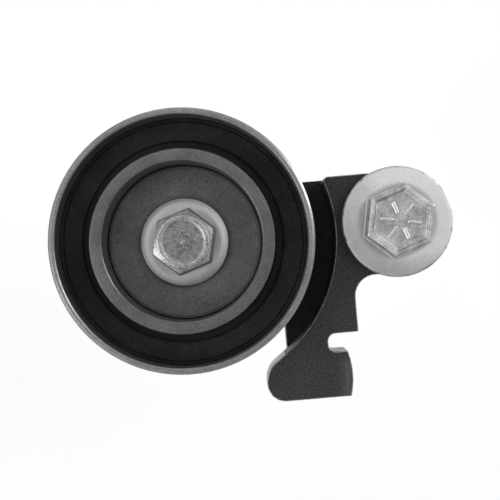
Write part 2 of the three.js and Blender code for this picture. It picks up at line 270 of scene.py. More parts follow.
class Nodes:
    """A material's node tree, with short calls for the nodes used here."""

    def __init__(self, name, **constants):
        self.material = bpy.data.materials.new(name)
        self.material.use_nodes = True
        self.tree = self.material.node_tree
        self.shader = self.tree.nodes["Principled BSDF"]
        for key, value in constants.items():
            socket = key.replace("_", " ").title().replace("Ior", "IOR")
            self.shader.inputs[socket].default_value = value

    def link(self, source, target):
        self.tree.links.new(source, target)

    def node(self, kind, **settings):
        made = self.tree.nodes.new(kind)
        for key, value in settings.items():
            setattr(made, key, value)
        return made

    def place_in_piece(self):
        return self.node("ShaderNodeTexCoord").outputs["Object"]

    def math(self, operation, a, b):
        made = self.node("ShaderNodeMath", operation=operation)
        for socket, value in zip(made.inputs, (a, b)):
            if isinstance(value, (int, float)):
                socket.default_value = value
            else:
                self.link(value, socket)
        return made.outputs[0]

    def coordinate(self, axis):
        """The X, Y or Z of a point in the piece's own frame, in metres."""
        parts = self.node("ShaderNodeSeparateXYZ")
        self.link(self.place_in_piece(), parts.inputs[0])
        return parts.outputs[axis]

    def radius(self):
        """Distance from the piece's own upright axis, in metres."""
        flat = self.node("ShaderNodeCombineXYZ")
        self.link(self.coordinate("X"), flat.inputs["X"])
        self.link(self.coordinate("Y"), flat.inputs["Y"])
        length = self.node("ShaderNodeVectorMath", operation="LENGTH")
        self.link(flat.outputs[0], length.inputs[0])
        return length.outputs["Value"]

    def noise(self, scale, detail, roughness):
        made = self.node("ShaderNodeTexNoise")
        made.inputs["Scale"].default_value = scale
        made.inputs["Detail"].default_value = detail
        made.inputs["Roughness"].default_value = roughness
        self.link(self.place_in_piece(), made.inputs["Vector"])
        return made.outputs["Fac"]

    def lines(self, along, per_metre, detail):
        """Noise that changes only with one distance, like tool marks."""
        made = self.node("ShaderNodeTexNoise", noise_dimensions="1D")
        made.inputs["Scale"].default_value = per_metre
        made.inputs["Detail"].default_value = detail
        self.link(along, made.inputs["W"])
        return made.outputs["Fac"]

    def between(self, value, start, end):
        """How far a value in metres is from start to end, both in mm: 0 to 1, held at both ends."""
        made = self.node("ShaderNodeMapRange", clamp=True)
        made.inputs["From Min"].default_value = start * MM
        made.inputs["From Max"].default_value = end * MM
        self.link(value, made.inputs["Value"])
        return made.outputs[0]

    def ramp(self, value, *stops):
        """Levels or colours along a value, from (place, level) stops."""
        made = self.node("ShaderNodeValToRGB")
        elements = made.color_ramp.elements
        while len(elements) < len(stops):
            elements.new(0.5)
        for element, (at, level) in zip(elements, stops):
            element.position = at
            colour = level if isinstance(level, tuple) else grey(level)
            element.color = (*colour, 1)
        self.link(value, made.inputs[0])
        return made.outputs["Color"]

    def spread(self, value, low, high):
        """Levels from low to high over the range that a noise mostly takes."""
        return self.ramp(value, (0.3, low), (0.7, high))

    def mix(self, factor, a, b, blend="MIX"):
        made = self.node("ShaderNodeMix", data_type="RGBA", blend_type=blend)
        sockets = [s for s in made.inputs if s.enabled]
        for socket, value in zip(sockets, (factor, a, b)):
            if isinstance(value, (int, float)):
                socket.default_value = value
            elif isinstance(value, tuple):
                socket.default_value = (*value, 1)
            else:
                self.link(value, socket)
        return next(s for s in made.outputs if s.enabled)

    def bump(self, height, distance, strength, under=None):
        made = self.node("ShaderNodeBump")
        made.inputs["Distance"].default_value = distance
        made.inputs["Strength"].default_value = strength
        self.link(height, made.inputs["Height"])
        if under is not None:
            self.link(under, made.inputs["Normal"])
        return made.outputs["Normal"]

    def set(self, **links):
        """Links the shader's inputs and gives the finished material."""
        for key, source in links.items():
            self.link(source, self.shader.inputs[key.replace("_", " ").title()])
        return self.material


def speckled(n, tone, grain, depth):
    """A tone with fine darker and lighter grains, `depth` times darker at the most."""
    fine = n.spread(grain, 1.0 - depth, 1.0)
    return n.mix(1.0, tone, fine, blend="MULTIPLY")


def turned_steel(name, low, high, smooth, rough):
    """Steel cut on a lathe: fine rings round the axis, cloudy tone, a fine grain and uneven gloss."""
    n = Nodes(name, metallic=1.0)
    rings = n.lines(n.radius(), 9000, 3)
    broad = n.lines(n.radius(), 1500, 2)
    cloud = n.noise(160, 4, 0.6)
    grain = n.noise(2700, 3, 0.7)
    tone = n.mix(0.4, n.spread(cloud, low, high), n.spread(broad, low, high))
    tone = speckled(n, tone, grain, 0.45)
    gloss = n.mix(0.5, n.spread(cloud, smooth, rough), n.spread(rings, smooth, rough))
    normal = n.bump(grain, 7e-6, 0.5, n.bump(rings, 2e-6, 0.5))
    return n.set(base_color=tone, roughness=gloss, normal=normal)


def ground_steel(name, low, high):
    """The roller: lathe rings on its ends, fine grinding lines round its face, a dull inner wall."""
    n = Nodes(name, metallic=1.0)
    rings = n.lines(n.radius(), 9000, 3)
    bands = n.lines(n.coordinate("Z"), 7000, 3)
    marks = n.math("ADD", rings, bands)
    cloud = n.noise(140, 4, 0.6)
    grain = n.noise(2700, 3, 0.7)
    tone = n.mix(0.35, n.spread(cloud, low, high), n.ramp(marks, (0.6, low), (0.95, high)))
    tone = speckled(n, tone, grain, 0.5)
    gloss = n.mix(0.4, n.spread(cloud, 0.26, 0.38), n.ramp(marks, (0.6, 0.24), (0.95, 0.42)))
    gloss = n.mix(n.between(n.radius(), RIM_BORE + 0.2, RIM_BORE), gloss, grey(0.42))
    normal = n.bump(grain, 6e-6, 0.5, n.bump(marks, 2e-6, 0.5))
    return n.set(base_color=tone, roughness=gloss, normal=normal)


def cast_hub():
    """Sintered steel: matte, with a dense fine grain."""
    n = Nodes("cast_hub", metallic=0.8)
    grain = n.noise(2600, 3, 0.75)
    cloud = n.noise(120, 4, 0.6)
    tone = speckled(n, n.spread(cloud, 0.18, 0.24), grain, 0.6)
    gloss = n.spread(grain, 0.44, 0.62)
    return n.set(base_color=tone, roughness=gloss, normal=n.bump(grain, 1.6e-5, 0.7))


def forged_zinc(name, low, high, blotch, pit_depth=5e-5, dish=0.0):
    """Plated forging: dull, blotchy and pitted; darker inside a dish of the given radius in mm."""
    n = Nodes(name, metallic=1.0)
    pits = n.noise(1700, 4, 0.8)
    grain = n.noise(3200, 3, 0.75)
    cloud = n.noise(380, 3, 0.6)
    by_pits = n.ramp(pits, (0.36, low), (0.6, high))
    by_cloud = n.ramp(cloud, (0.38, low), (0.62, high))
    tone = speckled(n, n.mix(blotch, by_pits, by_cloud), grain, 0.5)
    if dish:
        inside = n.between(n.radius(), dish, dish - 0.2)
        tone = n.mix(n.math("MULTIPLY", inside, 0.28), tone, grey(0.0))
    gloss = n.mix(0.6, n.spread(pits, 0.3, 0.5), n.spread(grain, 0.3, 0.55))
    normal = n.bump(grain, 8e-6, 0.5, n.bump(pits, pit_depth, 0.7))
    return n.set(base_color=tone, roughness=gloss, normal=normal)


def flange_shade_and_knocks(n, tone, low):
    """The pivot bolt's flange: painted shade on its lower side and dark knocks along its brim."""
    # painted shade: the flange darkens towards its lower side, where less light falls
    lower_shade = n.math("MULTIPLY", n.between(n.coordinate("Y"), *PAINTED_SHADE_Y), 0.4)
    tone = n.mix(lower_shade, tone, grey(low * 0.3))
    knocks = n.ramp(n.noise(480, 3, 0.6), (0.54, 0.0), (0.6, 0.6))
    brim = n.math("MULTIPLY", n.between(n.radius(), *BRIM_R), knocks)
    return n.mix(brim, tone, grey(low * 0.25))


def zinc_plate(name, low, high, smooth, rough, shaded_and_worn=False):
    """Turned and zinc-plated steel: pale and satin, with lathe rings and dark nicks."""
    n = Nodes(name, metallic=1.0, anisotropic=0.55)
    cloud = n.noise(220, 5, 0.65)
    grain = n.noise(2500, 3, 0.7)
    rings = n.lines(n.radius(), 4200, 3)
    nicks = n.ramp(n.noise(520, 2, 0.5), (0.73, 0.0), (0.77, 0.5))
    tone = n.mix(0.3, n.spread(cloud, low, high), n.spread(rings, low, high))
    tone = speckled(n, tone, grain, 0.2)
    tone = n.mix(nicks, tone, grey(low * 0.4))
    # optionally painted shade on the flange's lower side, and dark knocks along its brim
    if shaded_and_worn:
        tone = flange_shade_and_knocks(n, tone, low)
    gloss = n.mix(0.5, n.spread(cloud, smooth, rough), n.spread(grain, smooth, rough))
    normal = n.bump(grain, 6e-6, 0.4, n.bump(rings, 3e-6, 0.4))
    tangent = n.node("ShaderNodeTangent", direction_type="RADIAL", axis="Z")
    n.link(tangent.outputs[0], n.shader.inputs["Tangent"])
    return n.set(base_color=tone, roughness=gloss, normal=normal)


def black_oxide(name, low, high, specular):
    """Blackened forging: nearly black, with a fine grain, cloudy gloss and a few bright nicks."""
    n = Nodes(name, metallic=0.0, ior=1.5, specular_ior_level=specular)
    grain = n.noise(2500, 3, 0.75)
    cloud = n.noise(90, 4, 0.6)
    nicks = n.ramp(n.noise(1400, 2, 0.5), (0.765, 0.0), (0.8, 0.7))
    by_grain = n.ramp(grain, (0.35, low * 0.3), (0.65, high * 1.4))
    tone = n.mix(0.75, n.spread(cloud, low, high), by_grain)
    tone = n.mix(nicks, tone, grey(0.2))
    # a lighter streaky strip on the foot's right side: rubbed wear and a painted highlight
    tone = n.mix(foot_rub_and_highlight(n), tone, n.spread(grain, 0.08, 0.3))
    gloss = n.mix(0.65, n.ramp(cloud, (0.35, 0.36), (0.7, 0.52)), n.spread(grain, 0.34, 0.6))
    return n.set(base_color=tone, roughness=gloss, normal=n.bump(grain, 2.5e-5, 0.9))


def foot_rub_and_highlight(n):
    """Where the black is rubbed thin and a painted highlight lies along the rounded edge: a streaky
    lighter strip along the foot's right side.
    """
    x = n.coordinate("X")
    across = n.between(x, *STREAK_X)
    down = n.between(n.coordinate("Y"), *STREAK_Y)
    streaks = n.ramp(n.lines(x, 3500, 3), (0.35, 0.15), (0.65, 0.8))
    return n.math("MULTIPLY", n.math("MULTIPLY", across, down), n.math("MULTIPLY", streaks, 0.4))


def worn_edge_highlight():
    """Steel showing through the black along the rubbed edges, made bright as a painted highlight on the
    bevels.
    """
    n = Nodes("worn_edge_highlight", metallic=1.0)
    wear = n.noise(900, 4, 0.65)
    grain = n.noise(3000, 2, 0.6)
    tone = n.mix(0.3, n.ramp(wear, (0.35, 0.06), (0.6, 0.5)), n.spread(grain, 0.08, 0.4))
    gloss = n.spread(wear, 0.5, 0.3)
    return n.set(base_color=tone, roughness=gloss, normal=n.bump(grain, 6e-6, 0.5))


def rubbed_side():
    """The foot's sides, rubbed to a low gloss."""
    n = Nodes("rubbed_side", metallic=0.0, ior=1.5, specular_ior_level=0.75)
    grain = n.noise(2500, 3, 0.7)
    cloud = n.noise(400, 3, 0.6)
    tone = n.mix(0.5, n.ramp(cloud, (0.35, 0.015), (0.65, 0.04)), n.spread(grain, 0.01, 0.05))
    gloss = n.spread(cloud, 0.22, 0.4)
    return n.set(base_color=tone, roughness=gloss, normal=n.bump(grain, 8e-6, 0.5))


def seal_rubber():
    """Nitrile rubber, matte black with faint dusty patches, with painted shade darkening it down by the
    lip.
    """
    n = Nodes("seal_rubber", metallic=0.0, ior=1.5, specular_ior_level=0.22)
    dust = n.noise(110, 5, 0.65)
    grain = n.noise(2400, 3, 0.65)
    tone = n.mix(n.ramp(dust, (0.45, 0.0), (0.75, 0.6)), grey(0.016), grey(0.055))
    tone = speckled(n, tone, grain, 0.8)
    # painted shade: the rubber darkens in the deep groove by the lip
    tone = n.mix(n.between(n.radius(), *LIP_PAINTED_SHADE_R), tone, grey(0.006))
    gloss = n.mix(0.5, n.spread(dust, 0.52, 0.66), n.spread(grain, 0.46, 0.72))
    return n.set(base_color=tone, roughness=gloss, normal=n.bump(grain, 1e-5, 0.6))


def bronze():
    """Sintered bronze: warm and evenly grained."""
    n = Nodes("bronze", metallic=1.0)
    grain = n.noise(2600, 3, 0.6)
    cloud = n.noise(200, 3, 0.5)
    by_cloud = n.spread(cloud, (0.42, 0.29, 0.13), (0.6, 0.43, 0.21))
    by_grain = n.spread(grain, (0.36, 0.25, 0.11), (0.62, 0.45, 0.23))
    tone = n.mix(0.5, by_cloud, by_grain)
    gloss = n.spread(grain, 0.3, 0.5)
    return n.set(base_color=tone, roughness=gloss, normal=n.bump(grain, 5e-6, 0.5))


def cage_nylon():
    """Natural nylon: pale, a little translucent."""
    n = Nodes("cage_nylon", metallic=0.0, subsurface_weight=0.1)
    cloud = n.noise(300, 4, 0.6)
    grain = n.noise(2500, 2, 0.5)
    tone = n.spread(cloud, (0.62, 0.57, 0.42), (0.78, 0.74, 0.6))
    gloss = n.spread(grain, 0.4, 0.58)
    return n.set(base_color=tone, roughness=gloss, normal=n.bump(grain, 5e-6, 0.4))


def ball_steel():
    """Polished steel with a faint haze."""
    n = Nodes("ball_steel", metallic=1.0)
    haze = n.noise(500, 4, 0.6)
    tone = n.spread(haze, 0.6, 0.72)
    gloss = n.spread(haze, 0.05, 0.14)
    return n.set(base_color=tone, roughness=gloss, normal=n.bump(haze, 5e-7, 0.3))


def pale_floor():
    """The white surface that the object stands over, a little uneven."""
    n = Nodes("pale_floor", metallic=0.0, roughness=0.9)
    cloud = n.noise(3, 3, 0.5)
    return n.set(base_color=n.spread(cloud, 0.968, 0.982))


# ---------------------------------------------------------------- bearing and hub

SEAL_FACE = 5.6  # from the roller's middle plane
SEAL_WEB = 1.0
RIM_BORE = 28.5
SEAL_GROOVE = 28.8
SEAL_PLAY = 0.4  # how much wider the outer ring's groove is than the seal's web, on each side
RIM_INNER_CHAMFER = 0.28
RIM_OUTER_CHAMFER = 0.5
OUTER_SHOULDER = 25.3
BALL_R = 3.175
BALL_PITCH = 23.175
BALL_COUNT = 12
RACE_OUT = 26.5
RACE_IN = 19.85
RACE_SECTION = 3.4
RACE_STEPS = 8
BALL_STEPS = 24
CAGE_BORE = 22.1
CAGE_POCKET_R = 3.4
CAGE_POCKET_DEPTH = 9.0
CAGE_EDGE = 0.12
INNER_BORE = 18.2
INNER_BORE_CHAMFER = 0.26
INNER_OUTSIDE_CHAMFER = 0.24
HUB_BOSS = 14.0
HUB_HOLE = 5.3
HUB_COLLAR = 0.17  # how far the pressed part stands out from the hub's two ends


def mirrored(upper):
    """A ring's profile that is the same on both sides of the roller's middle plane."""
    lower = [(r, -z, f) for r, z, f in reversed(upper)]
    return [(r, z + ROLLER_MID, f) for r, z, f in lower + upper]


def race(bottom, side, shoulder):
    """Corners of half a ball groove, from its bottom to the shoulder."""
    centre = bottom - side * RACE_SECTION
    half = math.acos(side * (shoulder - centre) / RACE_SECTION)
    turn = [half * i / RACE_STEPS for i in range(1, RACE_STEPS + 1)]
    return [(centre + side * RACE_SECTION * math.cos(t), RACE_SECTION * math.sin(t), 0) for t in turn]


def outer_ring():
    """The roller: ball groove, a groove for each seal, and rims that stand past them."""
    half = (ROLLER_FRONT - ROLLER_BACK) / 2
    groove_low = SEAL_FACE - SEAL_WEB - SEAL_PLAY
    groove_high = SEAL_FACE + SEAL_PLAY
    upper = race(RACE_OUT, 1, OUTER_SHOULDER) + [
        (OUTER_SHOULDER, groove_low, 0.15),
        (SEAL_GROOVE, groove_low, 0.1),
        (SEAL_GROOVE, groove_high, 0.1),
        (RIM_BORE, groove_high, 0.1),
        (RIM_BORE, half - RIM_INNER_CHAMFER, 0.08),
        (RIM_BORE + RIM_INNER_CHAMFER, half, 0.08),
        (ROLLER_R - RIM_OUTER_CHAMFER, half, 0.2),
        (ROLLER_R, half - RIM_OUTER_CHAMFER, 0.2),
    ]
    return revolve("roller_outer_ring", mirrored(upper), ROLLER_AT)


def inner_ring():
    """Ball groove outside, chamfered at both ends."""
    _, _, radius, low, high = node_mm("inner_ring")
    half = (high - low) / 2
    upper = race(RACE_IN, -1, radius) + [
        (radius, half - INNER_OUTSIDE_CHAMFER, 0.1),
        (radius - INNER_OUTSIDE_CHAMFER, half, 0.1),
        (INNER_BORE + INNER_BORE_CHAMFER, half, 0.1),
        (INNER_BORE, half - INNER_BORE_CHAMFER, 0.1),
    ]
    return revolve("bearing_inner_ring", mirrored(upper), ROLLER_AT)


def seal(name, side):
    """Lip, step, flat web, thin groove, and the bead that snaps into the outer ring."""
    face = SEAL_FACE
    back = face - SEAL_WEB
    corners = [
        (21.5, face - 1.1, 0.1),
        (22.9, face - 1.1, 0.1),
        (23.5, back, 0.1),
        (RIM_BORE, back, 0.2),
        (RIM_BORE, face - 0.15, 0.25),
        (28.05, face + 0.05, 0.2),
        (27.9, face - 0.35, 0.08),
        (27.65, face - 0.35, 0.08),
        (27.45, face, 0.12),
        (23.35, face, 0.3),
        (22.85, face - 0.5, 0.25),
        (21.9, face - 0.5, 0.1),
        (21.5, face - 0.4, 0.08),
    ]
    return revolve(name, [(r, ROLLER_MID + side * z, f) for r, z, f in corners], ROLLER_AT)


def hub():
    """The disc pressed into the inner ring, with the boss that stands on the arm."""
    _, _, radius, low, front = node_mm("hub")
    boss_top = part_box("inner_ring")[0].z / MM + REST_GAP
    corners = [
        (HUB_HOLE, low, 0.1),
        (HUB_BOSS, low, 0.3),
        (HUB_BOSS, boss_top, 0.2),
        (radius, boss_top, 0.2),
        (radius, boss_top + 1.5, 0.1),
        (radius + HUB_COLLAR, boss_top + 1.8, 0.1),
        (radius + HUB_COLLAR, front - 1.8, 0.1),
        (radius, front - 1.5, 0.1),
        (radius, front - 0.2, 0.05),
        (radius - 0.1, front - 0.12, 0.05),
        (radius - 0.7, front, 0.15),
        (radius - 0.9, front, 0),
        (HUB_HOLE, front, 0.3),
    ]
    return revolve("pressed_hub", corners, ROLLER_AT)


def cage():
    """A ring with a round pocket for each ball. It is cut round the origin, then moved to the roller."""
    _, _, outer, low, high = node_mm("cage")
    section = ((CAGE_BORE, low), (outer, low), (outer, high), (CAGE_BORE, high))
    ring = revolve("ball_cage", [(r, z, 0.2) for r, z in section])
    pocket = dict(radius1=CAGE_POCKET_R * MM, radius2=CAGE_POCKET_R * MM, depth=CAGE_POCKET_DEPTH * MM)
    cutter = bmesh.new()
    for t in angles(BALL_COUNT):
        made = bmesh.ops.create_cone(cutter, cap_ends=True, segments=48, **pocket)
        for v in made["verts"]:
            x, y, z = v.co
            away = BALL_PITCH * MM + z
            v.co = (
                away * math.cos(t) - y * math.sin(t),
                away * math.sin(t) + y * math.cos(t),
                ROLLER_MID * MM - x,
            )
    mesh = bpy.data.meshes.new("pockets")
    cutter.to_mesh(mesh)
    cutter.free()
    pockets = bpy.data.objects.new("pockets", mesh)
    bpy.context.scene.collection.objects.link(pockets)
    bpy.context.view_layer.update()
    combine(ring, pockets, "DIFFERENCE")
    bevel(ring, CAGE_EDGE, 2, 40)
    ring.location = (ROLLER_X * MM, ROLLER_Y * MM, 0)
    return ring


def ball(index):
    """One ball at its place in the cage, made of rings from pole to pole."""
    t = FULL * index / BALL_COUNT
    centre = (ROLLER_X + BALL_PITCH * math.cos(t), ROLLER_Y + BALL_PITCH * math.sin(t))
    rings = []
    for i in range(BALL_STEPS + 1):
        tilt = math.pi * (i / BALL_STEPS - 0.5)
        r = BALL_R * math.cos(tilt)
        z = ROLLER_MID + BALL_R * math.sin(tilt)
        rings.append([(r * math.cos(a), r * math.sin(a), z) for a in angles(2 * BALL_STEPS)])
    return loft(f"bearing_ball_{index + 1:02d}", rings, centre)


# ---------------------------------------------------------------- bolts

MARK_COUNT = 6
MARK_TURN = 49.2
MARK_NEAR = 2.0
MARK_FAR = 4.35
MARK_HALF = 0.5
MARK_LAYERS = (  # inset of a bar's side, and height against the head's top, from the foot upwards
    (0.0, -0.7),
    (0.0, -0.5),
    (0.04, -0.36),
    (0.14, -0.26),
    (0.28, -0.21),
    (0.42, -0.2),
)
HEAD_FROM = 0.35  # over the flange's top, where a bolt head's own material starts
HEAD_BORDER = (  # pivot bolt: inset from the flats and drop below the top, over the border to the panel
    (0.0, 0.75),
    (0.06, 0.52),
    (0.18, 0.34),
    (0.34, 0.19),
    (0.54, 0.07),
    (0.76, 0.01),
    (0.9, 0.0),
    (1.06, 0.03),
    (1.22, 0.11),
    (1.38, 0.25),
    (1.52, 0.4),
    (1.66, 0.48),
    (1.9, 0.5),
)
HEAD_DISH = (  # roller bolt: radius and drop below the bead's crest, in to the centre mark
    (4.7, 0.3),
    (4.45, 0.31),
    (4.0, 0.3),
    (3.0, 0.3),
    (1.5, 0.3),
    (0.5, 0.3),
    (0.25, 0.14),
    (0, 0.08),
)
HEAD_TOP_FLATS = 13.2  # roller bolt: its hexagon narrows upwards
HEAD_FOOT_FLATS = 13.5
SIDE_STEPS = 20
THREAD_PITCH = 1.25
THREAD_DEPTH = 0.72
THREAD_STEEPNESS = 2.3
THREAD_STEPS_PER_TURN = 10
END_CHAMFER = 1.0
END_CHAMFER_LENGTH = 1.2
RUNOUT_LENGTH = 2.0
PIVOT_THREAD_TOP = 2.0
ROLLER_THREAD_TOP = 11.0
BOLT_R = 5.0


def hexagon(flats, corner_round, corner_deg):
    """Points of a six-sided outline with rounded corners, evenly filled along its sides."""
    apothem = flats / 2 - corner_round
    centre_r = apothem / math.cos(math.pi / 6)
    points = []
    for side in range(6):
        corner = math.radians(corner_deg + 60 * side)
        cx, cy = centre_r * math.cos(corner), centre_r * math.sin(corner)
        points += arc(cx, cy, corner_round, corner - math.pi / 6, corner + math.pi / 6, 7.5)
        following = math.radians(corner_deg + 60 * (side + 1))
        nx, ny = centre_r * math.cos(following), centre_r * math.sin(following)
        start = points[-1]
        end_angle = following - math.pi / 6
        end = (nx + corner_round * math.cos(end_angle), ny + corner_round * math.sin(end_angle))
        for k in range(1, SIDE_STEPS):
            share = k / SIDE_STEPS
            points.append((start[0] + (end[0] - start[0]) * share, start[1] + (end[1] - start[1]) * share))
    return points


def ring_like(outline, radius, z):
    """A circle with one point at the direction of each outline point."""
    turn = [math.atan2(y, x) for x, y in outline]
    return [(radius * math.cos(t), radius * math.sin(t), z) for t in turn]


def scaled(outline, factor, z):
    """The outline at a height, larger or smaller round the axis."""
    return [(x * factor, y * factor, z) for x, y in outline]


def thread_rings(outline, end_z, start_z):
    """Rings of a helical thread from its chamfered end up to its run-out."""
    rings = []
    count = int((start_z - end_z) / THREAD_PITCH * THREAD_STEPS_PER_TURN)
    for i in range(count + 1):
        z = end_z + (start_z - end_z) * i / count
        chamfer = min(1.0, (z - end_z) / END_CHAMFER_LENGTH)
        runout = min(1.0, max(0.0, (start_z - z) / RUNOUT_LENGTH))
        ring = []
        for x, y in outline:
            t = math.atan2(y, x)
            phase = (z / THREAD_PITCH - t / FULL) % 1.0
            groove = THREAD_DEPTH * (1 - min(1.0, THREAD_STEEPNESS * abs(phase - 0.5))) * runout
            r = min(BOLT_R - groove, BOLT_R - END_CHAMFER * (1 - chamfer))
            ring.append((r * math.cos(t), r * math.sin(t), z))
        rings.append(ring)
    return rings


def bolt_rings(node, outline, thread_top, seat_z, flange):
    """Rings from the shank's end up over the flange: [(radius, z)] of the flange comes last."""
    _, _, _, end_z, _ = node_mm(node)
    rings = [ring_like(outline, 0, end_z)]
    rings += thread_rings(outline, end_z, thread_top)
    rings += [ring_like(outline, BOLT_R, z) for z in (thread_top + 0.2, seat_z - 0.3)]
    rings += [ring_like(outline, r, z) for r, z in flange]
    return rings


def second_material_above(obj, z):
    """Gives the faces higher than z, in mm, the piece's second material."""
    for face in obj.data.polygons:
        if face.center.z > z * MM:
            face.material_index = 1


def pivot_bolt():
    """Wide flange, and a head with a sloping border round a sunk panel."""
    seat_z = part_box("pivot_sleeve")[1].z / MM + REST_GAP
    _, _, radius, _, head_top = node_mm("pivot_bolt")
    flats = 15.0
    corner_deg = 19.2
    corner_round = 0.45
    flange_top = seat_z + 3.0
    slope_from = 9.3  # the flange is flat inside this radius
    slope_drop = 0.35
    edge = 0.55
    panel_depth = 0.5
    panel_sag = 0.06

    outline = hexagon(flats, corner_round, corner_deg)
    rim = radius - edge
    rim_z = flange_top - slope_drop - edge
    flange = [
        (BOLT_R + 0.3, seat_z),
        (radius - 0.3, seat_z),
        (radius - 0.08, seat_z + 0.08),
        (radius, seat_z + 0.3),
    ]
    rounding = np.linspace(0, math.radians(80), 9)
    flange += [(rim + edge * math.cos(a), rim_z + edge * math.sin(a)) for a in rounding]
    rings = bolt_rings("pivot_bolt", outline, PIVOT_THREAD_TOP, seat_z, flange)
    for share in np.linspace(0.15, 1, 8):
        r = rim + (slope_from - rim) * share
        rings.append(ring_like(outline, r, flange_top - slope_drop * (1 - share)))
    rings += hexagon_foot(outline, flange_top, 0.06)
    for inset, drop in HEAD_BORDER:
        border = hexagon(flats - 2 * inset, corner_round - inset * 0.12, corner_deg)
        rings.append(scaled(border, 1, head_top - drop))
    for factor in (0.8, 0.6, 0.4, 0.2, 0.0):
        rings.append(scaled(border, factor, head_top - panel_depth - panel_sag * (1 - factor)))
    bolt = loft("pivot_flange_bolt", rings)
    second_material_above(bolt, flange_top + HEAD_FROM)
    return bolt


def roller_bolt():
    """Domed flange, and a head whose corners are cut by a cone up to a round top with a low dish."""
    seat_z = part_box("hub")[1].z / MM + REST_GAP
    _, _, radius, _, head_top = node_mm("roller_bolt")
    outline = hexagon(HEAD_TOP_FLATS, 0.5, 18.0)
    flange_top = seat_z + 2.2
    dome_from = 7.2  # radius where the flange's dome would be highest
    dome_curve = 0.062
    edge = 0.3
    bead_r = 5.5
    bead_half = 0.72
    bead_high = 0.26
    cone_r = bead_r + bead_half
    lean = math.tan(math.radians(30))

    def dome(r):
        return flange_top - dome_curve * (r - dome_from) ** 2

    def cone(x, y, down=0.0):
        return head_top - bead_high - max(0.0, math.hypot(x, y) - cone_r) * lean - down

    brim = radius - edge
    brim_z = dome(brim) - edge
    flange = [
        (BOLT_R + 0.3, seat_z),
        (radius - 0.2, seat_z),
        (radius - 0.05, seat_z + 0.06),
        (radius, seat_z + 0.2),
    ]
    flange += [(brim + edge * math.cos(a), brim_z + edge * math.sin(a)) for a in np.linspace(0, 1.2, 7)]
    flange += [(r, dome(r)) for r in np.linspace(brim - 0.05, 8.4, 9)]
    rings = bolt_rings("roller_bolt", outline, ROLLER_THREAD_TOP, seat_z, flange)
    rings += hexagon_foot(outline, flange_top - 0.06, 0.15, spread=HEAD_FOOT_FLATS / HEAD_TOP_FLATS)
    rings.append([(x, y, cone(x, y, 0.12)) for x, y in outline])
    for share in (0.0, 0.1, 0.35, 0.7, 1.0):
        ring = []
        for x, y in outline:
            r = 0.988 * math.hypot(x, y)
            factor = (r + (cone_r - r) * share) / math.hypot(x, y)
            ring.append((x * factor, y * factor, cone(x * factor, y * factor)))
        rings.append(ring)
    for a in np.linspace(0, math.pi, 13)[1:]:
        z = head_top - bead_high * (1 - math.sin(a))
        rings.append(ring_like(outline, bead_r + bead_half * math.cos(a), z))
    rings += [ring_like(outline, r, head_top - drop) for r, drop in HEAD_DISH]
    bolt = loft("roller_flange_bolt", rings, ROLLER_AT)
    second_material_above(bolt, flange_top + HEAD_FROM)
    return bolt


def hexagon_foot(outline, flange_top, groove, spread=1.0):
    """The small groove where a hexagon stands on its flange, and the start of its sides."""
    return [
        scaled(outline, 1.04 * spread, flange_top),
        scaled(outline, 1.02 * spread, flange_top - groove),
        scaled(outline, spread, flange_top - groove / 3),
        scaled(outline, spread, flange_top + 0.3),
    ]


def head_marks():
    """Six raised bars on the pivot bolt's sunk panel, set like spokes."""
    head_top = node_mm("pivot_bolt")[4]
    verts, faces = [], []
    for k in range(MARK_COUNT):
        t = math.radians(MARK_TURN + 60 * k)
        ends = ((MARK_FAR, -math.pi / 2), (MARK_NEAR, math.pi / 2))
        for layer, (inset, z) in enumerate(MARK_LAYERS):
            half = MARK_HALF - inset
            first = len(verts)
            for x, y in [p for x, a in ends for p in arc(x, 0, half, a, a + math.pi, 20)]:
                along = x * math.cos(t) - y * math.sin(t)
                across = x * math.sin(t) + y * math.cos(t)
                verts.append((along, across, head_top + z))
            count = len(verts) - first
            if layer:
                faces += band(first - count, first, count)
            else:
                faces.append(tuple(reversed(range(first, first + count))))
        faces.append(tuple(range(first, first + count)))
    return mesh_object("head_marks", verts, faces)


# ---------------------------------------------------------------- pivot stack

SLEEVE_BORE = 5.3
WASHER_BORE = 8.1
BUSHING_BORE = 7.9


def plain_ring(name, node, bore, edge):
    """A ring with the CAD node's outer radius and height, its edges rounded to the radius `edge`."""
    _, _, radius, low, high = node_mm(node)
    corners = [(bore, low, edge), (radius, low, edge), (radius, high, edge), (bore, high, edge)]
    return revolve(name, corners)


# ---------------------------------------------------------------- arm

ARM_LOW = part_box("tensioner_arm")[0].z / MM
ARM_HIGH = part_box("tensioner_arm")[1].z / MM
PLATE_TOP = 11.0
BOSS = 12.0
POCKET = 35.6
POCKET_CORNER = 1.0
NECK_X = -11.0
NECK_FILLET = 5.0
SLOT_TOP = -25.0
SLOT_BOTTOM = -29.3
SLOT_ROOT_X = -18.3
SLOT_ROOT_R = 1.8
FOOT_Y = -40.0
FOOT_RIGHT = -13.9
FOOT_NOSE = 18.3
FOOT_LEFT = -33.5
FOOT_HEEL = 6.1
FOOT_SLOPE = math.radians(36.7)
PLATE_LEFT = -27.8
PLATE_BOSS = 12.5
PLATE_FILLET = 6.0
PLATE_TIP_Y = -30.0
PLATE_TRIM_X = -19.5
PLATE_TRIM_LOW = -26.0
PLATE_TRIM_HIGH = -21.0
BUSHING_SEAT = 9.15
ARM_EDGE = 0.22
BLACK, WORN_HIGHLIGHT, PAINTED_SHADE_SLOT, RUBBED = range(4)  # the arm's materials, in this order


def neck_fillet():
    """The inner corner between the neck and the pivot boss."""
    return arc(NECK_X + NECK_FILLET, -BOSS - NECK_FILLET, NECK_FILLET, math.pi, math.pi / 2, 5)


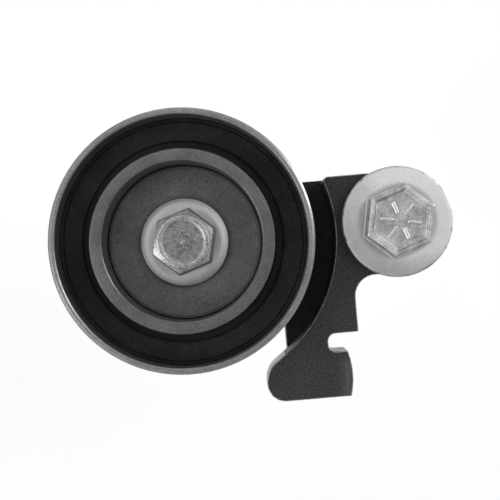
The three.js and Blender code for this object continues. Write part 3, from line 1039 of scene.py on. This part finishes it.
def block_outline():
    """Thick part of the arm: pivot boss, neck with a side slot, and the foot under it."""
    ax, ay = ROLLER_AT
    corner_y = BOSS - POCKET_CORNER
    corner_reach = POCKET + POCKET_CORNER
    corner_angle = math.asin((corner_y - ay) / corner_reach)
    corner_x = ax + corner_reach * math.cos(corner_angle)
    pocket_end = FOOT_SLOPE - math.pi / 2
    back_x = ax + POCKET * math.cos(pocket_end)
    back_y = ay + POCKET * math.sin(pocket_end)
    heel_x = FOOT_LEFT + FOOT_HEEL
    heel_y = back_y + ((heel_x - back_x) * math.sin(FOOT_SLOPE) - FOOT_HEEL) / math.cos(FOOT_SLOPE)
    toe_r = heel_y - FOOT_Y
    nose_half = (SLOT_BOTTOM - FOOT_Y) / 2
    nose_x = FOOT_RIGHT - math.sqrt(FOOT_NOSE**2 - nose_half**2)
    nose_angle = math.asin(nose_half / FOOT_NOSE)
    root_x = SLOT_ROOT_X + SLOT_ROOT_R
    return (
        arc(0, 0, BOSS, -math.pi / 2, math.pi / 2)
        + arc(corner_x, corner_y, POCKET_CORNER, math.pi / 2, math.pi + corner_angle, 12)
        + arc(ax, ay, POCKET, corner_angle, pocket_end, 1.5)
        + arc(heel_x, heel_y, FOOT_HEEL, math.pi / 2 + FOOT_SLOPE, math.pi, 5)
        + arc(FOOT_LEFT + toe_r, heel_y, toe_r, math.pi, 1.5 * math.pi, 5)
        + arc(nose_x, FOOT_Y + nose_half, FOOT_NOSE, -nose_angle, nose_angle, 3)
        + arc(root_x, SLOT_BOTTOM + SLOT_ROOT_R, SLOT_ROOT_R, -math.pi / 2, -math.pi, 10)
        + arc(root_x, SLOT_TOP - SLOT_ROOT_R, SLOT_ROOT_R, math.pi, math.pi / 2, 10)
        + [(NECK_X, SLOT_TOP)]
        + neck_fillet()
    )


def plate_outline():
    """Thin plate that carries the roller's bolt."""
    ax, ay = ROLLER_AT
    low = ay - PLATE_BOSS
    fillet_x = PLATE_LEFT - PLATE_FILLET
    tip = [(PLATE_LEFT, PLATE_TIP_Y), (PLATE_TRIM_X, PLATE_TIP_Y)]
    trim = [(PLATE_TRIM_X, PLATE_TRIM_LOW), (NECK_X, PLATE_TRIM_HIGH)]
    return (
        arc(0, 0, BOSS, -math.pi / 2, math.pi / 2)
        + arc(ax, ay, PLATE_BOSS, math.pi / 2, 1.5 * math.pi)
        + arc(fillet_x, low - PLATE_FILLET, PLATE_FILLET, math.pi / 2, 0, 5)
        + tip
        + trim
        + neck_fillet()
    )


def tensioner_arm(materials):
    """The forging, whose faces take one of four materials."""
    arm = slab("forged_arm", block_outline(), PLATE_TOP, ARM_HIGH)
    for material in materials:
        arm.data.materials.append(material)
    combine(arm, slab("plate", plate_outline(), ARM_LOW, PLATE_TOP), "UNION")
    for radius, (x, y) in ((BUSHING_SEAT, PIVOT_AT), (HUB_HOLE, ROLLER_AT)):
        hole = slab("hole", arc(x, y, radius, 0, FULL * 95 / 96, 3.75), -5, ARM_HIGH + 5)
        combine(arm, hole, "DIFFERENCE")
    # the bevels take steel showing through the black, brightened as a painted highlight along the edges
    bevel(arm, ARM_EDGE, 3, 35, edge_slot=WORN_HIGHLIGHT)
    for face in arm.data.polygons:
        if face.material_index == BLACK:
            face.material_index = arm_face_slot(face)
    return arm


def arm_face_slot(face):
    """A darker copy of the black as painted shade on the plate and the pocket's wall, rubbed black on the
    foot's sides.
    """
    x, y, z = face.center / MM
    is_wall = abs(face.normal.z) < 0.3
    near_roller = math.dist((x, y), ROLLER_AT) < POCKET + 0.05 and y > SLOT_BOTTOM
    # painted shade: the pocket's wall beside the roller and the sunk plate take the darker copy of the
    # black
    if z > PLATE_TOP and is_wall and near_roller:
        return PAINTED_SHADE_SLOT
    if face.normal.z > 0.9 and z < PLATE_TOP + 1:
        return PAINTED_SHADE_SLOT
    if is_wall and y < SLOT_TOP - 0.1:
        return RUBBED
    return BLACK


# ---------------------------------------------------------------- camera, floor, light

CAMERA_XY = (-35.07, -6.04)
CAMERA_ABOVE_ROLLER = 300.0
CAMERA_ROLL = math.radians(-4.9)
CAMERA_LENS = 96.55
CAMERA_SHIFT_Y = 0.02
FLOOR_Z = -0.12
FLOOR_FAR = 4.0

SKY_TOP = 4.0  # brightest level that a band may ask for
FRONT_WAY = (math.sin(CAMERA_ROLL), -math.cos(CAMERA_ROLL), 0)
KEY_WAY = (math.cos(math.radians(42)), math.sin(math.radians(42)), 0)
WEST_WAY = (math.cos(math.radians(170)), math.sin(math.radians(170)), 0)
LOW_PATCH_WAY = (0.06, -0.36, 0.931)
BACK_PATCH_WAY = (-0.209, 0.781, 0.588)
UP_LEVELS = ((-1, 0.35), (0.0, 0.4), (0.3, 0.6), (0.5, 0.95))
UP_LEVELS += ((0.66, 1.65), (0.82, 1.65), (0.92, 0.66), (0.985, 0.37))
FRONT_LEVELS = ((-1, 1.5), (-0.94, 1.3), (-0.84, 0.5), (-0.7, 0.7), (-0.45, 0.88))
FRONT_LEVELS += ((-0.1, 0.88), (0.1, 1.0), (0.6, 0.6), (1.0, 0.5))
KEY_LEVELS = ((-1, 1.05), (0.1, 0.95), (0.5, 0.85), (0.8, 0.85), (0.93, 1.5), (1.0, 2.4))
WEST_LEVELS = ((-1, 0.95), (-0.3, 0.9), (-0.12, 0.85), (0.0, 1.15))
WEST_LEVELS += ((0.08, 1.75), (0.3, 1.75), (0.5, 1.25), (1, 0.7))
SKY_BANDS = (  # a direction, and levels by how far the sky leans to it, from -1 to 1
    ((0, 0, 1), UP_LEVELS),
    (FRONT_WAY, FRONT_LEVELS),
    (KEY_WAY, KEY_LEVELS),
    (WEST_WAY, WEST_LEVELS),
    (LOW_PATCH_WAY, ((0.78, 1.0), (0.92, 0.75), (0.98, 0.35), (1.0, 0.3))),
    (BACK_PATCH_WAY, ((0.86, 1.0), (0.93, 0.6), (1.0, 0.4))),
)
LIGHT_AIM = (-0.03, 0, 0.02)
KEY_LIGHT = dict(size=0.26, energy=0.33, at=(0.24, 0.1, 0.46))
FILL_LIGHT = dict(size=0.25, energy=0.78, at=(-0.44, -0.13, 0.33))
EDGE_LIGHT = dict(size=0.22, energy=0.85, at=(0.45, 0.2, 0.06))


def camera():
    """The photo's camera: straight above, near enough to show the depths by perspective."""
    data = bpy.data.cameras.new("camera")
    data.lens = CAMERA_LENS
    data.sensor_width = 36
    data.shift_y = CAMERA_SHIFT_Y
    data.clip_start = 0.01
    data.clip_end = 20
    obj = bpy.data.objects.new("camera", data)
    above = ROLLER_FRONT + CAMERA_ABOVE_ROLLER
    obj.location = (CAMERA_XY[0] * MM, CAMERA_XY[1] * MM, above * MM)
    obj.rotation_euler = (0, 0, CAMERA_ROLL)
    bpy.context.scene.collection.objects.link(obj)
    bpy.context.scene.camera = obj


def floor():
    """A wide floor, far below the object so that no shadow falls in view."""
    mesh = bpy.data.meshes.new("floor")
    corners = [(x * FLOOR_FAR, y * FLOOR_FAR, FLOOR_Z) for x, y in ((-1, -1), (1, -1), (1, 1), (-1, 1))]
    mesh.from_pydata(corners, [], [(0, 1, 2, 3)])
    obj = bpy.data.objects.new("floor", mesh)
    obj.data.materials.append(pale_floor())
    bpy.context.scene.collection.objects.link(obj)


def area_light(name, size, energy, at):
    """A round soft light aimed at the object."""
    data = bpy.data.lights.new(name, "AREA")
    data.shape = "DISK"
    data.size = size
    data.energy = energy
    obj = bpy.data.objects.new(name, data)
    obj.location = at
    obj.rotation_euler = (Vector(LIGHT_AIM) - Vector(at)).to_track_quat("-Z", "Y").to_euler()
    bpy.context.scene.collection.objects.link(obj)


def studio():
    """A pale sky, dim straight above and low down, and three soft lights."""
    world = bpy.data.worlds.new("studio")
    bpy.context.scene.world = world
    world.use_nodes = True
    tree = world.node_tree
    coords = tree.nodes.new("ShaderNodeTexCoord")
    levels = [sky_band(tree, coords, way, stops) for way, stops in SKY_BANDS]
    level = levels[0]
    for following in levels[1:]:
        product = tree.nodes.new("ShaderNodeMath")
        product.operation = "MULTIPLY"
        tree.links.new(level, product.inputs[0])
        tree.links.new(following, product.inputs[1])
        level = product.outputs[0]
    background = tree.nodes["Background"]
    background.inputs["Color"].default_value = (1, 1, 1, 1)
    tree.links.new(level, background.inputs["Strength"])
    area_light("key", **KEY_LIGHT)
    area_light("fill", **FILL_LIGHT)
    area_light("edge", **EDGE_LIGHT)
    bpy.context.scene.view_settings.view_transform = "Standard"


def sky_band(tree, coords, way, stops):
    """Brightness of the sky as a curve of how far a direction leans to `way`, from -1 to 1."""
    lean = tree.nodes.new("ShaderNodeVectorMath")
    lean.operation = "DOT_PRODUCT"
    tree.links.new(coords.outputs["Generated"], lean.inputs[0])
    lean.inputs[1].default_value = way
    spread = tree.nodes.new("ShaderNodeMapRange")
    spread.inputs["From Min"].default_value = -1
    spread.inputs["From Max"].default_value = 1
    tree.links.new(lean.outputs["Value"], spread.inputs["Value"])
    ramp = tree.nodes.new("ShaderNodeValToRGB")
    elements = ramp.color_ramp.elements
    while len(elements) < len(stops):
        elements.new(0.5)
    for element, (at, level) in zip(elements, stops):
        element.position = (at + 1) / 2
        element.color = (level / SKY_TOP, level / SKY_TOP, level / SKY_TOP, 1)
    tree.links.new(spread.outputs[0], ramp.inputs[0])
    scale = tree.nodes.new("ShaderNodeMath")
    scale.operation = "MULTIPLY"
    tree.links.new(ramp.outputs[0], scale.inputs[0])
    scale.inputs[1].default_value = SKY_TOP
    return scale.outputs[0]


# ---------------------------------------------------------------- assembly


def build():
    """Makes every piece and hands it to the frame."""
    rim = ground_steel("roller_steel", 0.34, 0.48)
    race_steel = turned_steel("race_steel", 0.2, 0.28, 0.3, 0.42)
    bright = turned_steel("bright_steel", 0.5, 0.64, 0.2, 0.34)
    # the pivot bolt's flange carries painted shade on its lower side and dark knocks along its brim
    zinc = zinc_plate("zinc_plate", 0.58, 0.72, 0.42, 0.56, shaded_and_worn=True)
    zinc_head = forged_zinc("zinc_head", 0.4, 0.8, 0.65, 2e-5)
    grey_zinc = zinc_plate("grey_zinc", 0.44, 0.54, 0.36, 0.48)
    grey_head = forged_zinc("grey_head", 0.27, 0.7, 0.3, 2.2e-5, dish=DISH_SHADE_R)
    rubber = seal_rubber()
    oxide = black_oxide("black_oxide", 0.016, 0.044, 0.2)
    # a darker, duller copy of the black oxide: painted shade for the recessed plate and the pocket's wall
    painted_shade_oxide = black_oxide("painted_shade_oxide", 0.01, 0.029, 0.14)

    place(outer_ring(), "roller", "ground_steel", rim, "outer_ring")
    place(inner_ring(), "arm", "bearing_steel", race_steel, "inner_ring")
    place(seal("front_rubber_seal", 1), "roller", "seal_rubber", rubber, "front_seal")
    place(seal("rear_rubber_seal", -1), "roller", "seal_rubber", rubber, "rear_seal")
    place(hub(), "arm", "cast_hub", cast_hub(), "hub")
    place(cage(), "cage", "cage_nylon", cage_nylon(), "cage")
    steel_balls = ball_steel()
    for i in range(BALL_COUNT):
        node = f"ball_{i + 1:02d}"
        place(ball(i), node, "ball_steel", steel_balls, node)

    place(roller_bolt(), "arm", "zinc_plate", [grey_zinc, grey_head], "roller_bolt")
    place(pivot_bolt(), "pivot", "zinc_plate", [zinc, zinc_head], "pivot_bolt")
    place(head_marks(), "pivot", "zinc_plate", forged_zinc("rubbed_marks", 0.7, 0.9, 0.3))

    sleeve = plain_ring("clamp_sleeve", "pivot_sleeve", SLEEVE_BORE, 0.25)
    place(sleeve, "pivot", "ground_steel", bright, "pivot_sleeve")
    washer = plain_ring("plain_washer", "rear_washer", WASHER_BORE, 0.1)
    place(washer, "pivot", "ground_steel", bright, "rear_washer")
    bushing = plain_ring("bronze_bushing", "pivot_bushing", BUSHING_BORE, 0.2)
    place(bushing, "arm", "bronze", bronze(), "pivot_bushing")
    arm = tensioner_arm([oxide, worn_edge_highlight(), painted_shade_oxide, rubbed_side()])
    place(arm, "arm", "black_oxide", [], "tensioner_arm")


camera()
floor()
studio()
build()
